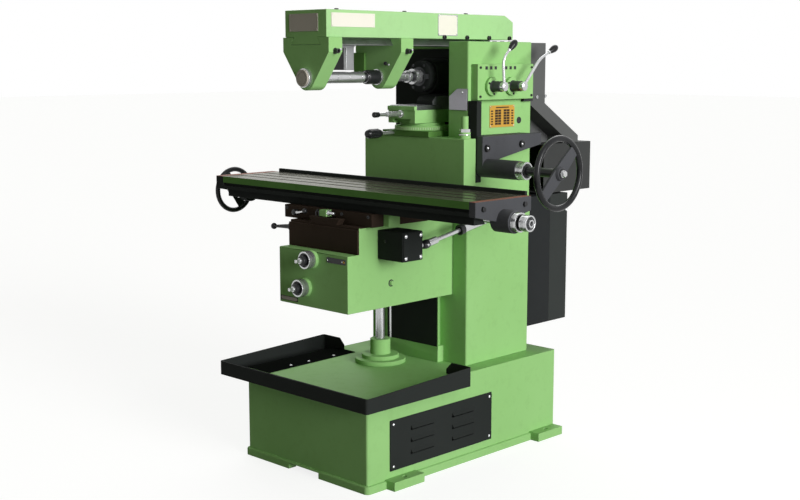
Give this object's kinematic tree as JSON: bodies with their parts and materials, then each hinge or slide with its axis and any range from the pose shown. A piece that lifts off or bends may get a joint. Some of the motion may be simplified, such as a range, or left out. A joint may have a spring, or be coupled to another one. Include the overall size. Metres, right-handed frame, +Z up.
{
  "type": "horizontal milling machine",
  "caption": "Column and knee horizontal milling machine with overarm, arbor supports, sliding table, handwheels, rear swivel slide and chip tray.",
  "frame": {"origin": "middle of the foundation bolt pattern at floor level", "axes": "+X operator's right along the table, +Y front to back along the spindle, +Z up"},
  "size_m": [1.4631, 1.335, 1.532],
  "materials": {
    "green_paint": "semi-gloss machine enamel on cast iron",
    "deep_green_paint": "semi-gloss enamel, darker",
    "black_paint": "satin black paint",
    "guard_paint": "satin dark grey sheet paint",
    "grey_iron": "dark grey machined iron",
    "steel": "ground steel",
    "bronze": "bronze",
    "chart_plate": "printed yellow plate",
    "belt_rubber": "moulded rubber",
    "black_iron": "gloss black enamel"
  },
  "bodies": {
    "frame": {"base_casting": "green_paint", "chip_tray": "black_paint", "vent_panel": "black_paint", "frame_screws": "steel", "nut_pedestal": "green_paint", "elevating_nut": "bronze", "column": "green_paint", "way_cover": "black_paint", "spindle_cover": "black_paint", "gear_panel": "green_paint", "speed_plate": "chart_plate", "lever_hubs": "deep_green_paint", "belt_guard": "guard_paint", "motor_cover": "guard_paint", "motor": "deep_green_paint", "drive_belts": "belt_rubber", "switch_cabinet": "guard_paint", "spindle_bearings": "steel", "feed_output_box": "deep_green_paint", "rear_bed": "green_paint", "side_bracket": "grey_iron"},
    "door": {"cabinet_door": "guard_paint"},
    "overarm_body": {"overarm": "green_paint"},
    "front_support": {"support_front": "green_paint"},
    "rear_support": {"support_rear": "green_paint", "rear_bush": "black_paint"},
    "spindle_body": {"spindle": "steel", "arbor": "steel", "spindle_pulley": "grey_iron"},
    "motor_rotor": {"motor_pulley": "grey_iron"},
    "front_lever": {"speed_lever_front": "steel"},
    "rear_lever": {"speed_lever_rear": "steel"},
    "knee_body": {"knee": "green_paint", "knee_apron": "black_paint", "feed_gearbox": "black_paint", "knee_trim": "steel"},
    "vertical_handle": {"vertical_crank": "steel"},
    "cross_handle": {"cross_crank": "steel"},
    "lift_screw": {"elevating_screw": "steel"},
    "clamp_lever": {"knee_clamp_lever": "black_iron"},
    "saddle_body": {"saddle": "deep_green_paint", "saddle_nuts": "bronze"},
    "lock_lever": {"saddle_lever": "steel"},
    "table_body": {"table": "green_paint", "table_strip": "black_paint", "left_bracket": "deep_green_paint", "right_bracket": "grey_iron"},
    "table_screw": {"lead_screw": "steel", "left_handwheel": "black_iron", "right_dial": "steel"},
    "carriage_body": {"rear_carriage": "deep_green_paint"},
    "rear_drive": {"rear_screw": "steel", "rear_handwheel": "black_iron"},
    "swivel_body": {"swivel_base": "green_paint"},
    "slide_body": {"top_slide": "steel", "slide_guard": "black_paint"},
    "slide_handle": {"slide_crank": "steel"},
    "knob_body": {"lock_knob": "black_iron"},
    "feed_outer": {"feed_sleeve": "steel"},
    "feed_inner": {"feed_rod": "steel"}
  },
  "joints": [
    {"name": "door_hinge", "type": "hinge", "parent": "frame", "child": "door", "pos_m": [-0.15, 0.503, 0.64], "axis": [0, 0, 1], "range_deg": [0, 100]},
    {"name": "overarm_slide", "type": "slide", "parent": "frame", "child": "overarm_body", "axis": [0, 1, 0], "range_m": [-0.1, 0.02]},
    {"name": "front_support_slide", "type": "slide", "parent": "overarm_body", "child": "front_support", "axis": [0, 1, 0], "range_m": [0, 0.06]},
    {"name": "rear_support_slide", "type": "slide", "parent": "overarm_body", "child": "rear_support", "axis": [0, 1, 0], "range_m": [-0.08, 0.02]},
    {"name": "spindle_spin", "type": "hinge", "parent": "frame", "child": "spindle_body", "pos_m": [0, 0.155, 1.316], "axis": [0, 1, 0], "continuous": true},
    {"name": "motor_spin", "type": "hinge", "parent": "frame", "child": "motor_rotor", "pos_m": [0, 0.393, 0.978], "axis": [0, 1, 0], "continuous": true},
    {"name": "front_lever_turn", "type": "hinge", "parent": "frame", "child": "front_lever", "pos_m": [0.314, 0.109, 1.284], "axis": [1, 0, 0], "range_deg": [-25, 25]},
    {"name": "rear_lever_turn", "type": "hinge", "parent": "frame", "child": "rear_lever", "pos_m": [0.314, 0.213, 1.284], "axis": [1, 0, 0], "range_deg": [-25, 25]},
    {"name": "knee_lift", "type": "slide", "parent": "frame", "child": "knee_body", "axis": [0, 0, 1], "range_m": [-0.1, 0.08]},
    {"name": "vertical_crank_turn", "type": "hinge", "parent": "knee_body", "child": "vertical_handle", "pos_m": [-0.035, -0.478, 0.626], "axis": [0, 1, 0], "range_deg": [-9000, 7200]},
    {"name": "cross_crank_turn", "type": "hinge", "parent": "knee_body", "child": "cross_handle", "pos_m": [0, -0.478, 0.724], "axis": [0, 1, 0], "range_deg": [-7200, 3600]},
    {"name": "lift_screw_turn", "type": "hinge", "parent": "knee_body", "child": "lift_screw", "pos_m": [-0.035, -0.13, 0.56], "axis": [0, 0, 1], "range_deg": [-5142.86, 6428.57]},
    {"name": "clamp_lever_turn", "type": "hinge", "parent": "knee_body", "child": "clamp_lever", "pos_m": [-0.186, -0.405, 0.808], "axis": [0, 1, 0], "range_deg": [-25, 25]},
    {"name": "saddle_cross", "type": "slide", "parent": "knee_body", "child": "saddle_body", "axis": [0, 1, 0], "range_m": [-0.1, 0.05]},
    {"name": "lock_lever_turn", "type": "hinge", "parent": "saddle_body", "child": "lock_lever", "pos_m": [-0.165, -0.41, 0.86005], "axis": [0, 1, 0], "range_deg": [-40, 5]},
    {"name": "table_travel", "type": "slide", "parent": "saddle_body", "child": "table_body", "axis": [1, 0, 0], "range_m": [-0.24, 0.24]},
    {"name": "table_handwheel_turn", "type": "hinge", "parent": "table_body", "child": "table_screw", "pos_m": [0.02, -0.267, 0.89], "axis": [1, 0, 0], "range_deg": [-14400, 14400]},
    {"name": "carriage_travel", "type": "slide", "parent": "frame", "child": "carriage_body", "axis": [1, 0, 0], "range_m": [-0.048, 0.028]},
    {"name": "rear_handwheel_turn", "type": "hinge", "parent": "frame", "child": "rear_drive", "pos_m": [0.6, 0.055, 1.01], "axis": [-1, 0, 0], "range_deg": [-4320, 2520]},
    {"name": "swivel_turn", "type": "hinge", "parent": "carriage_body", "child": "swivel_body", "pos_m": [0, 0.048, 1.13], "axis": [0, 0, 1], "range_deg": [-25, 25]},
    {"name": "top_slide_travel", "type": "slide", "parent": "swivel_body", "child": "slide_body", "axis": [0, 1, 0], "range_m": [-0.048, 0.004]},
    {"name": "slide_crank_turn", "type": "hinge", "parent": "slide_body", "child": "slide_handle", "pos_m": [0, -0.06, 1.1884], "axis": [0, 1, 0], "range_deg": [-4320, 360]},
    {"name": "lock_knob_turn", "type": "hinge", "parent": "carriage_body", "child": "knob_body", "pos_m": [-0.058, -0.05, 1.12005], "axis": [0, 1, 0], "range_deg": [-60, 60]},
    {"name": "feed_outer_swing", "type": "hinge", "parent": "frame", "child": "feed_outer", "pos_m": [0.262, 0.225, 0.853], "axis": [1, 0, 0], "range_deg": [-9.9, 12.38]},
    {"name": "feed_inner_swing", "type": "hinge", "parent": "knee_body", "child": "feed_inner", "pos_m": [0.262, -0.215, 0.772], "axis": [1, 0, 0], "range_deg": [-9.9, 12.38]}
  ],
  "couplings": [
    {"joint": "vertical_crank_turn", "follows": "knee_lift", "rad_per_m": 1570.8},
    {"joint": "lift_screw_turn", "follows": "knee_lift", "rad_per_m": -1122},
    {"joint": "feed_outer_swing", "follows": "knee_lift", "rad_per_m": -2.1607},
    {"joint": "feed_inner_swing", "follows": "knee_lift", "rad_per_m": -2.1607},
    {"joint": "cross_crank_turn", "follows": "saddle_cross", "rad_per_m": 1256.6},
    {"joint": "table_handwheel_turn", "follows": "table_travel", "rad_per_m": 1047.2},
    {"joint": "rear_handwheel_turn", "follows": "carriage_travel", "rad_per_m": 1570.8},
    {"joint": "slide_crank_turn", "follows": "top_slide_travel", "rad_per_m": 1570.8},
    {"joint": "motor_spin", "follows": "spindle_spin", "ratio": 1.77}
  ]
}
